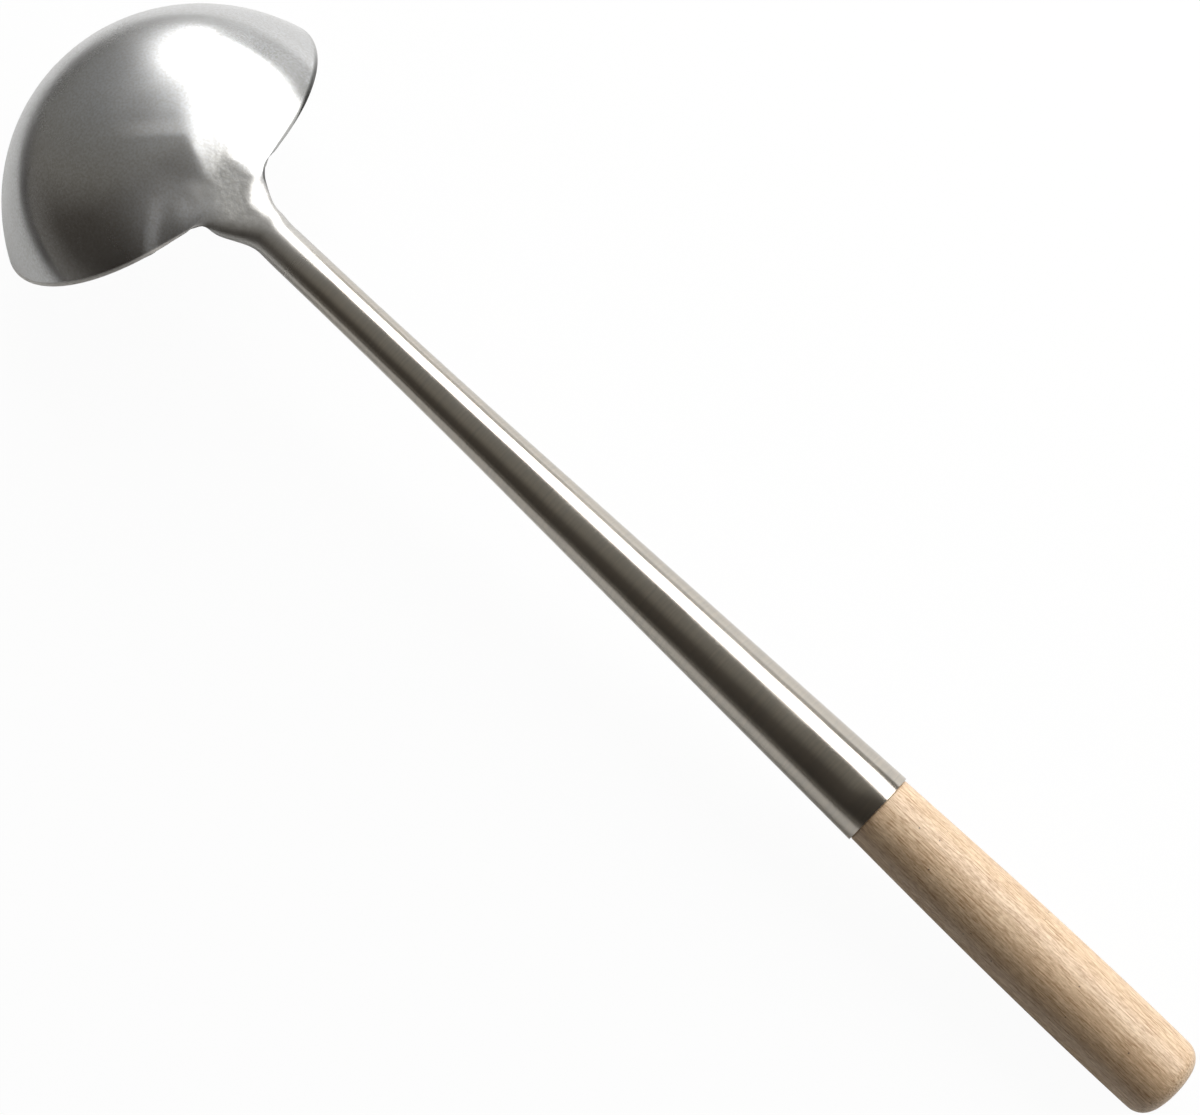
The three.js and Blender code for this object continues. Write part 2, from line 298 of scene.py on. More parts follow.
NAIL_DULL_DEPTH = 0.03


def lerp(start, end, share):
    return start + (end - start) * share


def clamped(share):
    return min(max(share, 0), 1)


def smoothstep(share):
    share = clamped(share)
    return share * share * (3 - 2 * share)


# The handle's frame: origin on the shaft's axis at the neck, X towards the grip, Z towards the bowl's back.
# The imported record's mount is the middle of the grip's butt, so it says where the handle lies.
butt_mount = frame["record"]["mounts"][0]
handle_along = Vector(butt_mount["axis"]).normalized()
handle_slope = math.asin(-handle_along.z)
handle_origin = Vector(butt_mount["pos_m"]) - handle_along * (SHAFT_LENGTH + GRIP_LENGTH) * MM
handle_place = Matrix.Translation(handle_origin) @ Matrix.Rotation(handle_slope, 4, "Y")
from_mm = Matrix.Diagonal((MM, MM, MM, 1))


# The shaft's radius: a slim neck end that swells over the flare into a straight cone
shaft_neck_radius = SHAFT_NECK_DIAMETER / 2
shaft_mouth_radius = SHAFT_MOUTH_DIAMETER / 2
cone_run = SHAFT_LENGTH - NECK_LENGTH - FLARE_LENGTH / 2
cone_slope = (shaft_mouth_radius - shaft_neck_radius) / cone_run


def shaft_radius(x):
    run = max(x - NECK_LENGTH, 0)
    swell = run * run / (2 * FLARE_LENGTH) if run < FLARE_LENGTH else run - FLARE_LENGTH / 2
    return shaft_neck_radius + cone_slope * swell


# The bowl: a cap of a sphere whose rim plane leans on the shaft
rim_radius = BOWL_RIM_DIAMETER / 2
bowl_radius = (rim_radius**2 + BOWL_DEPTH**2) / (2 * BOWL_DEPTH)
rim_half_angle = math.acos((bowl_radius - BOWL_DEPTH) / bowl_radius)
shaft_lean = math.radians(RIM_TO_SHAFT_ANGLE)
towards_neck = Vector((math.cos(shaft_lean), 0, math.sin(shaft_lean)))
towards_dome = Vector((-math.sin(shaft_lean), 0, math.cos(shaft_lean)))
rim_middle = Vector((0, 0, RIM_OVER_AXIS)) - towards_neck * rim_radius
sphere_centre = rim_middle + towards_dome * (BOWL_DEPTH - bowl_radius)


# The neck's flat top runs on into the bowl as a nose with a round end, and a low keel carries on from it
neck_half_width = NECK_WIDTH / 2 + NECK_FILLET


def share_of(span, value):
    return (value - span[0]) / (span[1] - span[0])


def keel_height(x, y):
    """Sharp and low at the nose, blunt and wide further into the bowl."""
    run = (x - KEEL_START[0]) / (KEEL_END[0] - KEEL_START[0])
    aside = y - lerp(KEEL_START[1], KEEL_END[1], run)
    size = lerp(KEEL_START_SIZE, 1, clamped(run))
    bluntness = lerp(*KEEL_BLUNTNESS, clamped(run - KEEL_BLUNT_START))
    fall = (math.hypot(aside, bluntness) - bluntness) / KEEL_FALLS[aside > 0]
    return KEEL_HEIGHT * size * smoothstep(share_of(KEEL_RUN, x)) * clamped(1 - fall) ** 2


def shoulder_height(x, y):
    """On both sides of the nose the bowl is pulled up towards the neck's flat top."""
    side = y > 0
    rise = smoothstep(share_of(SHOULDER_RISE[side], abs(y)))
    fall = 1 - smoothstep(share_of(SHOULDER_FALL, abs(y)))
    return SHOULDER_HEIGHTS[side] * rise * fall * smoothstep(share_of(SHOULDER_RUNS[side], x))


def nose_share(x, y):
    aside = NOSE_ASIDE * clamped((NOSE_ASIDE_END - x) / (NOSE_ASIDE_END - NOSE_CENTRE))
    distance = math.hypot(min(x - NOSE_CENTRE, 0), y - aside)
    foot = lerp(NOSE_FOOT_RADIUS, neck_half_width, clamped(1 - (NOSE_CENTRE - x) / NOSE_RADIUS))
    return 1 - smoothstep((distance - NOSE_RADIUS) / (foot - NOSE_RADIUS))


def eased(rise):
    """The rise where it is above nothing, with a soft start."""
    if abs(rise) < NOSE_EASE:
        return (rise + NOSE_EASE) ** 2 / (4 * NOSE_EASE)
    return max(rise, 0)


# A place on the bowl is a lean from the dome's axis towards the neck and a turn sideways
def bowl_up(lean):
    return towards_dome * math.cos(lean) + towards_neck * math.sin(lean)


def bowl_reach(lean, turn):
    """The way from the sphere's centre to the bowl's outside, as sideways and up."""
    up = bowl_up(lean)
    sideways = bowl_radius * math.sin(turn)
    x = sphere_centre.x + up.x * bowl_radius * math.cos(turn)
    rise = bowl_radius * math.cos(turn) + keel_height(x, sideways) + shoulder_height(x, sideways)
    if up.x > 0:
        neck_top = (shaft_neck_radius - sphere_centre.z) / up.z
        rise += eased(neck_top - rise) * nose_share(x, sideways)
    return Vector((sideways, rise))


def rim_lean(rim_angle):
    return math.atan(math.tan(rim_half_angle) * math.cos(rim_angle))


def rim_turn(rim_angle):
    return math.asin(math.sin(rim_half_angle) * math.sin(rim_angle))


# Beside the neck the rim is puckered: a short fold that runs inwards and is steeper on its outer side
pucker_start = Vector(PUCKER_START)
pucker_length = (Vector(PUCKER_END) - pucker_start).length
pucker_along = (Vector(PUCKER_END) - pucker_start).normalized()
pucker_across = pucker_along.cross(pucker_start - sphere_centre).normalized()


def pucker_height(place):
    offset = place - pucker_start
    fade = 1 - smoothstep(offset.dot(pucker_along) / pucker_length)
    aside = offset.dot(pucker_across) / PUCKER_WIDTH
    if aside < 0:
        aside *= PUCKER_STEEPNESS
    return PUCKER_HEIGHT * fade * math.exp(-aside * aside)


# A row of the sheet is a function from a share, -1 at one free edge to 1 at the other, to a place
def section_row(crown, up, outline):
    def place(share):
        sideways, rise = outline(share)
        return crown + up * rise + Vector((0, sideways, 0))

    return place


neck_rim_angle = math.asin(neck_half_width / rim_radius)
far_rim_angle = math.pi - math.radians(FAR_ARC / 2)


def bowl_row(share_along):
    """The first row lies on the far arc of the rim, and the last is the flat section at the neck's root."""
    along = share_along * (1 + ROW_CROWDING) - ROW_CROWDING * share_along**2
    edge_angle = lerp(far_rim_angle, neck_rim_angle, along)
    crown_lean = lerp(-rim_half_angle, rim_lean(neck_rim_angle), along)
    far_turn = rim_turn(far_rim_angle)

    def far_lean(turn):
        return math.acos(math.cos(rim_half_angle) / math.cos(turn))

    def place(share):
        bow = (far_lean(far_turn * share) - far_lean(0)) / (far_lean(far_turn) - far_lean(0))
        lean = lerp(crown_lean, rim_lean(edge_angle), bow)
        sideways, rise = bowl_reach(lean, rim_turn(edge_angle) * share)
        spot = sphere_centre + bowl_up(lean) * rise + Vector((0, sideways, 0))
        return spot + bowl_up(lean) * pucker_height(spot)

    return place


def arc_outline(radius, half_turn):
    def outline(share):
        turn = half_turn * share
        return Vector((radius * math.sin(turn), radius * (math.cos(turn) - 1)))

    return outline


def shaft_row(x):
    radius = shaft_radius(x)
    outline = arc_outline(radius, math.pi - SEAM_GAP / (2 * radius))
    return section_row(Vector((x, 0, radius)), Vector((0, 0, 1)), outline)


root_lean = rim_lean(neck_rim_angle)
root_up = bowl_up(root_lean)
root_reach = bowl_reach(root_lean, 0)
root_crown = sphere_centre + root_up * root_reach.y


def root_outline(sideways):
    return bowl_reach(root_lean, math.asin(sideways / bowl_radius)) - root_reach


def curled_side(half_width, half_turn, tightness, tilt, border):
    """A chain of steps from the middle of a flat top outwards: a tilted shoulder that bends ever faster."""
    tilt_run = (border - PAD_BORDER_SOFTNESS, border + PAD_BORDER_SOFTNESS)
    chain = [Vector((0, 0))]
    for i in range(CURL_STEPS):
        share = (i + 0.5) / CURL_STEPS
        turn = lerp(tilt * smoothstep(share_of(tilt_run, share)), half_turn, share**tightness)
        chain.append(chain[-1] + Vector((math.cos(turn), -math.sin(turn))))
    grow = half_width / max(link.x for link in chain)
    return [link * grow for link in chain]


def curled_outline(half_widths, half_turn, evenness):
    past_pad = clamped(evenness / PAD_BORDER_RUN)
    border = lerp(*PAD_BORDERS, past_pad)
    tilting = lerp(NECK_TILT_START, 1, past_pad) * (1 - evenness**2)
    sides = []
    for half_width, tightness, tilt in zip(half_widths, NECK_BEND_TIGHTNESS, NECK_TILTS):
        side_tilt = math.radians(tilt) * tilting
        sides.append(curled_side(half_width, half_turn, lerp(tightness, 1, evenness), side_tilt, border))

    def outline(share):
        chain = sides[share > 0]
        at = abs(share) * CURL_STEPS
        link = min(int(at), CURL_STEPS - 1)
        spot = chain[link].lerp(chain[link + 1], at - link)
        return Vector((math.copysign(spot.x, share), spot.y))

    return outline


neck_root_turn = 2 * math.atan(-root_outline(neck_half_width).y / neck_half_width)
neck_end_turn = math.pi - SEAM_GAP / (2 * shaft_neck_radius)
neck_end_crown = Vector((NECK_LENGTH, 0, shaft_neck_radius))


def neck_row(share_along):
    ease = smoothstep(share_along)
    along_fillet = min(share_along * NECK_LENGTH / NECK_FILLET, 1)
    fillet = NECK_FILLET * (1 - math.sqrt(1 - (1 - along_fillet) ** 2))
    half_widths = [
        lerp(NECK_WIDTH / 2, shaft_neck_radius, smoothstep(share_of(narrowing, share_along))) + fillet
        for narrowing in NECK_NARROWING
    ]
    half_turn = lerp(neck_root_turn, neck_end_turn, share_along**NECK_CURL_GROWTH)
    curled = curled_outline(half_widths, half_turn, share_along)

    def outline(share):
        side = share > 0
        setting = smoothstep(share_along / NECK_SETTING[side])
        return root_outline(half_widths[side] * share).lerp(curled(share), setting)

    up = root_up.lerp(Vector((0, 0, 1)), ease).normalized()
    return section_row(root_crown.lerp(neck_end_crown, share_along), up, outline)


def sheet_rows():
    rows = [bowl_row(i / ALONG_BOWL) for i in range(ALONG_BOWL)]
    rows += [neck_row((i / ALONG_NECK) ** NECK_CROWDING) for i in range(ALONG_NECK)]
    rows += [shaft_row(NECK_LENGTH + FLARE_LENGTH * i / ALONG_FLARE) for i in range(ALONG_FLARE)]
    cone_start = NECK_LENGTH + FLARE_LENGTH
    rows += [shaft_row(lerp(cone_start, SHAFT_LENGTH, i / ALONG_CONE)) for i in range(ALONG_CONE + 1)]
    return rows


# Modelling steps that several pieces share
def start_fresh():
    """Leaves edit mode and deselects everything, so that an operator acts on the new piece alone."""
    if bpy.context.object and bpy.context.object.mode != "OBJECT":
        bpy.ops.object.mode_set(mode="OBJECT")
    bpy.ops.object.select_all(action="DESELECT")


def named(name):
    piece = bpy.context.object
    piece.name = name
    piece.data.name = name
    return piece


def select_points(piece, test):
    """Goes into edit mode with only the points selected that pass the test."""
    bpy.ops.object.mode_set(mode="EDIT")
    bpy.ops.mesh.select_mode(type="VERT")
    bpy.ops.mesh.select_all(action="DESELECT")
    bpy.ops.object.mode_set(mode="OBJECT")
    for point in piece.data.vertices:
        point.select = test(point)
    bpy.ops.object.mode_set(mode="EDIT")


def apply_modifier(piece, kind, **settings):
    modifier = piece.modifiers.new(kind.title(), kind)
    for name, value in settings.items():
        setattr(modifier, name, value)
    bpy.ops.object.modifier_apply(modifier=modifier.name)


def put_in_place(piece, place):
    piece.matrix_world = place
    bpy.ops.object.transform_apply(location=True, rotation=True, scale=True)


def belong(piece, node):
    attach(piece, "root")
    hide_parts(node)


# The steel body: a flat blank pressed onto its rows, thickened inwards and rounded at its edges
def model_steel_body():
    rows = sheet_rows()
    start_fresh()
    bpy.ops.mesh.primitive_grid_add(x_subdivisions=len(rows) - 1, y_subdivisions=ACROSS_SHEET, size=2)
    sheet = named("wok_ladle_steel")
    from_edge = sheet.data.attributes.new("from_edge", "FLOAT", "POINT")
    soft = []
    for point in sheet.data.vertices:
        row = round((point.co.x + 1) / 2 * (len(rows) - 1))
        share = point.co.y
        point.co = rows[row](share)
        from_edge.data[point.index].value = (point.co - rows[row](math.copysign(1, share))).length * MM
        if abs(share) < PINNED_EDGE_SHARE and NECK_SOFT_RUN[0] < point.co.x < NECK_SOFT_RUN[1]:
            soft.append(point.index)
    near_neck = set(soft)
    select_points(sheet, lambda point: point.index in near_neck)
    bpy.ops.mesh.vertices_smooth(factor=0.5, repeat=NECK_SOFTENING)
    bpy.ops.object.mode_set(mode="OBJECT")
    put_in_place(sheet, handle_place @ from_mm)

    inside = sheet.data.polygons[0].normal.x > 0
    if inside:
        bpy.ops.object.mode_set(mode="EDIT")
        bpy.ops.mesh.select_all(action="SELECT")
        bpy.ops.mesh.flip_normals()
        bpy.ops.object.mode_set(mode="OBJECT")

    sheet.data.materials.append(satin_steel())
    sheet.data.materials.append(cut_edge())
    apply_modifier(sheet, "SOLIDIFY", thickness=SHEET_THICKNESS * MM, offset=-1, material_offset_rim=1)
    apply_modifier(
        sheet, "BEVEL", width=EDGE_ROUNDING * MM, segments=2, limit_method="ANGLE",
        angle_limit=math.radians(BEVEL_ANGLE), use_clamp_overlap=True, material=1,
    )
    bpy.ops.object.shade_smooth_by_angle(angle=math.radians(SHADE_ANGLE))
    return sheet


# Turned pieces: a disc drawn out ring by ring along Z, each ring brought to its radius
def model_turned(name, sides, profile):
    start_fresh()
    first_radius, first_height = profile[0]
    bpy.ops.mesh.primitive_circle_add(
        vertices=sides, radius=first_radius, fill_type="NGON", location=(0, 0, 0),
    )
    piece = named(name)
    bpy.ops.object.mode_set(mode="EDIT")
    bpy.ops.mesh.select_all(action="SELECT")
    bpy.ops.transform.translate(value=(0, 0, first_height))
    radius, height = first_radius, first_height
    for next_radius, next_height in profile[1:]:
        rise = next_height - height
        bpy.ops.mesh.extrude_region_move(TRANSFORM_OT_translate={"value": (0, 0, rise)})
        grow = next_radius / radius
        bpy.ops.transform.resize(value=(grow, grow, 1), center_override=(0, 0, next_height))
        radius, height = next_radius, next_height
    bpy.ops.mesh.select_all(action="SELECT")
    bpy.ops.mesh.normals_make_consistent(inside=False)
    bpy.ops.object.mode_set(mode="OBJECT")
    return piece


def quarter_round(radius, rounding, height):
    """Points of a rounded edge that ends on a flat at the height."""
    points = []
    for i in range(1, ARC_STEPS + 1):
        turn = math.pi / 2 * i / ARC_STEPS
        points.append((
            radius - rounding * (1 - math.cos(turn)),
            height - rounding * (1 - math.sin(turn)),
        ))
    return points


def model_beech_grip():
    tenon_start = SHAFT_LENGTH - TENON_LENGTH
    shoulder = SHAFT_LENGTH + SHOULDER_GAP
    butt = SHAFT_LENGTH + GRIP_LENGTH
    swell = butt - GRIP_SWELL_FROM_BUTT
    rounding_start = butt - GRIP_BUTT_ROUNDING

    def tenon_radius(x):
        return shaft_radius(x) - SHEET_THICKNESS - CLEARANCE

    def barrel_radius(x):
        if x < swell:
            rise = math.sin(math.pi / 2 * (x - shoulder) / (swell - shoulder))
            return lerp(GRIP_SHOULDER_DIAMETER, GRIP_SWELL_DIAMETER, rise) / 2
        fall = ((x - swell) / (rounding_start - swell)) ** 2
        return lerp(GRIP_SWELL_DIAMETER, GRIP_BUTT_DIAMETER, fall) / 2

    profile = [
        (tenon_radius(tenon_start) - TENON_CHAMFER, tenon_start),
        (tenon_radius(tenon_start + TENON_CHAMFER), tenon_start + TENON_CHAMFER),
        (tenon_radius(shoulder), shoulder),
        (barrel_radius(shoulder) - SHOULDER_ROUNDING, shoulder),
    ]
    for i in range(ALONG_GRIP + 1):
        x = lerp(shoulder + SHOULDER_ROUNDING, rounding_start, i / ALONG_GRIP)
        profile.append((barrel_radius(x), x))
    profile += quarter_round(GRIP_BUTT_DIAMETER / 2, GRIP_BUTT_ROUNDING, butt)
    grip = model_turned("wok_ladle_grip", ROUND_GRIP, profile)
    put_in_place(grip, handle_place @ from_mm @ Matrix.Rotation(math.pi / 2, 4, "Y"))
    bpy.ops.object.shade_smooth_by_angle(angle=math.radians(SHADE_ANGLE))
    grip.data.materials.append(beech())
    return grip


def model_grip_nail():
    nail_x = SHAFT_LENGTH - NAIL_FROM_MOUTH
    seat = shaft_radius(nail_x)
    tip = seat - NAIL_LENGTH
    under_head = seat + NAIL_HEAD_GAP
    shank = NAIL_SHANK_DIAMETER / 2
    head = NAIL_HEAD_DIAMETER / 2
    profile = [
        (shank * NAIL_TIP_SHARE, tip),
        (shank, tip + NAIL_POINT),
        (shank, under_head),
        (head, under_head),
    ]
    for i in range(1, ARC_STEPS):
        turn = math.pi / 2 * i / ARC_STEPS
        profile.append((head * math.cos(turn), under_head + NAIL_HEAD_HEIGHT * math.sin(turn)))
    nail = model_turned("wok_ladle_nail", ROUND_NAIL, profile)
    nail_turn = math.pi - math.radians(NAIL_FROM_SEAM)
    aim = Matrix.Translation((nail_x, 0, 0)) @ Matrix.Rotation(-nail_turn, 4, "X")
    put_in_place(nail, handle_place @ from_mm @ aim)
    bpy.ops.object.shade_smooth_by_angle(angle=math.radians(SHADE_ANGLE))
    nail.data.materials.append(nail_steel())
    return nail


# Node helpers
def node(tree, kind, **settings):
    made = tree.nodes.new("ShaderNode" + kind)
    for name, value in settings.items():
        setattr(made, name, value)
    return made


def set_inputs(made, **values):
    for name, value in values.items():
        made.inputs[name.replace("_", " ")].default_value = value
    return made


def handle_coordinates(tree):
    """Object coordinates turned so that X runs along the handle from the neck."""
    coordinates = node(tree, "TexCoord")
    mapping = node(tree, "Mapping", vector_type="TEXTURE")
    mapping.inputs["Location"].default_value = handle_origin
    mapping.inputs["Rotation"].default_value = (0, handle_slope, 0)
    tree.links.new(coordinates.outputs["Object"], mapping.inputs["Vector"])
    return mapping.outputs["Vector"]


def stretched(tree, vector, scale):
    mapping = node(tree, "Mapping")
    mapping.inputs["Scale"].default_value = scale
    tree.links.new(vector, mapping.inputs["Vector"])
    return mapping.outputs["Vector"]


def noise(tree, vector, scale=1.0, detail=2.0, roughness=0.5):
    made = node(tree, "TexNoise")
    set_inputs(made, Scale=scale, Detail=detail, Roughness=roughness)
    tree.links.new(vector, made.inputs["Vector"])
    return made.outputs["Fac"]


def ranged(tree, value, low, high, to_low, to_high):
    made = node(tree, "MapRange")
    set_inputs(made, From_Min=low, From_Max=high, To_Min=to_low, To_Max=to_high)
    tree.links.new(value, made.inputs["Value"])
    return made.outputs["Result"]


def rising(tree, value, run, top=1):
    return ranged(tree, value, *run, 0, top)


def falling(tree, value, run, top=1):
    return ranged(tree, value, *run, top, 0)


def axes_of(tree, vector):
    made = node(tree, "SeparateXYZ")
    tree.links.new(vector, made.inputs["Vector"])
    return [made.outputs[axis] for axis in "XYZ"]


def measured(tree, operation, vector, other=(0, 0, 0)):
    """One value of a vector: its length, its distance from a place or how far it faces a side."""
    made = node(tree, "VectorMath", operation=operation)
    tree.links.new(vector, made.inputs[0])
    made.inputs[1].default_value = other
    return made.outputs["Value"]


def maths(tree, operation, first, second):
    made = node(tree, "Math", operation=operation)
    for socket, value in zip(made.inputs, (first, second)):
        if isinstance(value, (int, float)):
            socket.default_value = value
        else:
            tree.links.new(value, socket)
    return made.outputs["Value"]


def product(tree, first, *others):
    for other in others:
        first = maths(tree, "MULTIPLY", first, other)
    return first


def total(tree, first, *others):
    for other in others:
        first = maths(tree, "ADD", first, other)
    return first


def weighed(tree, first, second, weights):
    """The sum of two values, each with its weight."""
    return total(tree, product(tree, first, weights[0]), product(tree, second, weights[1]))


def blended(tree, share, first, second, blend_type="MIX"):
    """A colour mix of two colours or colour sockets."""
    made = node(tree, "Mix", data_type="RGBA", blend_type=blend_type)
    tree.links.new(share, made.inputs["Factor"])
    for socket, value in ((made.inputs[6], first), (made.inputs[7], second)):
        if isinstance(value, tuple):
            socket.default_value = value
        else:
            tree.links.new(value, socket)
    return made.outputs[2]


def bumped(tree, height, depth, below=None):
    made = node(tree, "Bump")
    made.inputs["Strength"].default_value = 1.0
    made.inputs["Distance"].default_value = depth * MM
    tree.links.new(height, made.inputs["Height"])
    if below:
        tree.links.new(below, made.inputs["Normal"])
    return made.outputs["Normal"]


def new_material(name):
    material = bpy.data.materials.new(name)
    material.use_nodes = True
    tree = material.node_tree
    return material, tree, tree.nodes["Principled BSDF"]


# Satin stainless steel: a cloudy polish with a fine grain on the bowl, and finer lines round a warmer shaft.
# Round the neck, the pad, the rim and the free edges have a gloss of their own. Their colour holds painted
# shade (a darker pad and patch, dark lines above the rim and along the far edge) and a painted highlight
# along the near edge.
def satin_steel():
    material, tree, shader = new_material("satin_steel")
    handle = handle_coordinates(tree)
    x, y, z = axes_of(tree, handle)
    across = maths(tree, "ABSOLUTE", y, 0)
    from_edge = node(tree, "Attribute", attribute_name="from_edge").outputs["Fac"]
    clouds = noise(tree, handle, scale=60, detail=3)
    swells = noise(tree, handle, scale=40, detail=1)
    dents = noise(tree, handle, scale=480, detail=2)
    grain = noise(tree, handle, scale=1300, detail=3)
    lines = noise(tree, stretched(tree, handle, SHAFT_LINES), detail=3, roughness=0.7)
    on_shaft = rising(tree, x, SHAFT_RUN)
    marks = blended(tree, on_shaft, grain, lines)
    on_pad = product(
        tree,
        rising(tree, weighed(tree, x, y, PAD_BORDER_WAY), PAD_BORDER_LINE),
        rising(tree, x, PAD_START),
        falling(tree, x, PAD_END),
        falling(tree, y, PAD_FAR_SIDE),
    )
    # Painted highlight: a pale line along the near free edge by the neck
    near_edge_painted_highlight = product(
        tree,
        falling(tree, from_edge, NEAR_EDGE_LINE),
        falling(tree, y, NEAR_EDGE_SIDE),
        falling(tree, x, NEAR_EDGE_END),
    )

    # Painted shade: a dark patch beside the nose
    painted_dark_patch = falling(tree, measured(tree, "DISTANCE", handle, PATCH_PLACE), PATCH_REACH, PAINTED_DARK_PATCH_SHARE)
    # Painted shade: a dark line just above the rim, weaker on the far side
    over_rim = weighed(tree, x, z, (towards_dome.x, towards_dome.z))
    rim_height = rim_middle.dot(towards_dome) * MM
    rim_line = [rim_height + above for above in RIM_LINE]
    rim_painted_shade = product(
        tree,
        falling(tree, over_rim, rim_line, RIM_PAINTED_SHADE_SHARE),
        falling(tree, x, RIM_END),
        ranged(tree, y, *RIM_FAR_RUN, 1, RIM_FAR_SHARE),
    )
    # Painted shade: a dark line along the far free edge by the neck
    far_edge_painted_shade = product(
        tree,
        falling(tree, from_edge, FAR_EDGE_LINE, FAR_EDGE_PAINTED_SHADE_SHARE),
        rising(tree, x, FAR_EDGE_START),
        falling(tree, x, FAR_EDGE_END),
        rising(tree, y, FAR_EDGE_SIDE),
    )
    bowl_polish = blended(tree, clouds, *BOWL_POLISH)
    shaft_polish = blended(tree, clouds, *SHAFT_POLISH)
    colour = blended(tree, on_shaft, bowl_polish, shaft_polish)
    colour = blended(tree, rising(tree, marks, NARROW_SWING, MARK_SHARE), colour, MARK_TONE)
    # Painted shade on the pad: its colour is darkened
    colour = blended(tree, product(tree, on_pad, PAD_PAINTED_SHADE_SHARE), colour, PAD_PAINTED_SHADE_TONE)
    colour = blended(tree, painted_dark_patch, colour, PAINTED_DARK_PATCH_TONE)
    colour = blended(tree, rim_painted_shade, colour, RIM_PAINTED_SHADE_TONE)
    colour = blended(tree, far_edge_painted_shade, colour, FAR_EDGE_PAINTED_SHADE_TONE)
    colour = blended(tree, near_edge_painted_highlight, colour, NEAR_EDGE_PAINTED_HIGHLIGHT_TONE)
    tree.links.new(colour, shader.inputs["Base Color"])

    matt = product(
        tree,
        rising(tree, x, MATT_RUN, MATT_ROUGHNESS),
        falling(tree, across, MATT_HALF_WIDTH),
    )
    worn = product(
        tree,
        rising(tree, x, WORN_RUN, WORN_ROUGHNESS),
        falling(tree, across, WORN_HALF_WIDTH),
    )
    off_shaft = maths(tree, "SUBTRACT", 1, on_shaft)
    into_bowl = maths(tree, "SUBTRACT", x, y)
    buffed = product(
        tree,
        falling(tree, weighed(tree, x, y, KEEL_SIDE_WAY), KEEL_SIDE_LINE),
        rising(tree, into_bowl, BUFFED_RUN, BUFFED_SMOOTHER),
        falling(tree, x, BUFFED_END),
    )
    scuffed = product(
        tree,
        rising(tree, into_bowl, SCUFF_START, SCUFF_ROUGHNESS),
        falling(tree, into_bowl, SCUFF_END),
        rising(tree, y, SCUFF_NEAR_SIDE),
        falling(tree, y, SCUFF_FAR_SIDE),
    )
    streak_aside = maths(tree, "ADD", weighed(tree, x, y, STREAK_ASIDE_WAY), STREAK_OFFSET)
    streak = product(
        tree,
        falling(tree, maths(tree, "ABSOLUTE", streak_aside, 0), STREAK_HALF_WIDTH),
        falling(tree, weighed(tree, x, y, STREAK_ALONG_WAY), STREAK_END),
        ranged(tree, clouds, *STREAK_CLOUDS, STREAK_THINNEST, 1),
    )
    rougher = total(
        tree,
        product(tree, total(tree, matt, worn), off_shaft),
        STEEL_ROUGHNESS,
        scuffed,
        product(tree, on_pad, ranged(tree, dents, *WIDE_SWING, *PAD_ROUGHNESS)),
        falling(tree, measured(tree, "DISTANCE", handle, CORNER_PLACE), CORNER_REACH, CORNER_ROUGHNESS),
        falling(tree, measured(tree, "DISTANCE", handle, HAZE_PLACE), HAZE_REACH, HAZE_ROUGHNESS),
        product(tree, near_edge_painted_highlight, NEAR_EDGE_ROUGHNESS),
        product(tree, streak, STREAK_ROUGHNESS),
        ranged(tree, clouds, *WIDE_SWING, -CLOUD_ROUGHNESS, CLOUD_ROUGHNESS),
        ranged(tree, marks, *NARROW_SWING, -MARK_ROUGHNESS, MARK_ROUGHNESS),
    )
    smoother = total(tree, buffed, product(tree, on_shaft, SHAFT_SMOOTHER))
    tree.links.new(maths(tree, "SUBTRACT", rougher, smoother), shader.inputs["Roughness"])
    set_inputs(shader, Metallic=1.0)
    normal = bumped(tree, swells, SWELL_DEPTH)
    normal = bumped(tree, product(tree, dents, on_pad), PAD_DENT_DEPTH, normal)
    normal = bumped(tree, grain, GRAIN_DEPTH, normal)
    tree.links.new(normal, shader.inputs["Normal"])
    return material


# The sheet's sheared edges: the same steel, dull round the bowl, its dark tone partly painted shade, and
# freshly cut and paler at the mouth, its pale tone partly a painted highlight
def cut_edge():
    material, tree, shader = new_material("cut_edge")
    handle = handle_coordinates(tree)
    at_mouth = rising(tree, axes_of(tree, handle)[0], FRESH_EDGE_RUN)
    scores = noise(tree, handle, scale=1800, detail=4)
    dull = blended(tree, scores, *DULL_EDGE_AND_PAINTED_SHADE)
    fresh = blended(tree, scores, *FRESH_EDGE_AND_PAINTED_HIGHLIGHT)
    tree.links.new(blended(tree, at_mouth, dull, fresh), shader.inputs["Base Color"])
    tree.links.new(ranged(tree, scores, *WIDE_SWING, *EDGE_ROUGHNESS), shader.inputs["Roughness"])
    set_inputs(shader, Metallic=1.0)
    tree.links.new(bumped(tree, scores, EDGE_SCORE_DEPTH), shader.inputs["Normal"])
    return material


